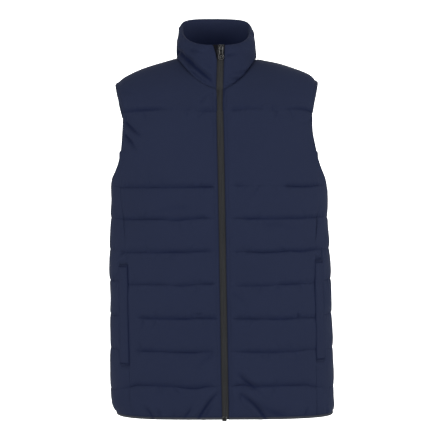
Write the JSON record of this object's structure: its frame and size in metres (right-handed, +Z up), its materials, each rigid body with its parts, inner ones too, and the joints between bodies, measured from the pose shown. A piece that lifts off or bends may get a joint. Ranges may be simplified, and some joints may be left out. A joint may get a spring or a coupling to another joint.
{
  "type": "quilted vest",
  "caption": "Sleeveless quilted vest with a padded stand collar, a full front zip with a swinging pull tab, and upright side welt pockets, filled out as worn.",
  "frame": {"origin": "midway between the two points where the shoulder seams meet the collar, at the height of the shoulder line there, where the wearer's shoulders carry the vest", "axes": "+Z up, +X towards the wearer's left, -Y the way the front faces"},
  "size_m": [0.4469, 0.2503, 0.7947],
  "materials": {
    "shell_cloth": "fine navy nylon plain weave with a soft satin sheen, quilted over light wadding",
    "zip_tape": "olive-black woven tape with its coil turned inwards, matt",
    "zip_metal": "gunmetal plating, satin, brighter on its worn edges"
  },
  "bodies": {
    "vest": {"front_left": "shell_cloth", "front_right": "shell_cloth", "back": "shell_cloth", "side_left": "shell_cloth", "side_right": "shell_cloth", "collar": "shell_cloth", "pocket_welt_left": "shell_cloth", "pocket_welt_right": "shell_cloth", "zip_tape_left": "zip_tape", "zip_tape_right": "zip_tape", "zip_foot": "zip_metal", "zip_slider": "zip_metal"},
    "pull": {"zip_pull": "zip_metal"}
  },
  "joints": [
    {"name": "pull_swing", "type": "hinge", "parent": "vest", "child": "pull", "pos_m": [0.00654, -0.08742, 0.0096], "axis": [-1, 0, 0], "range_deg": [0, 165]}
  ]
}
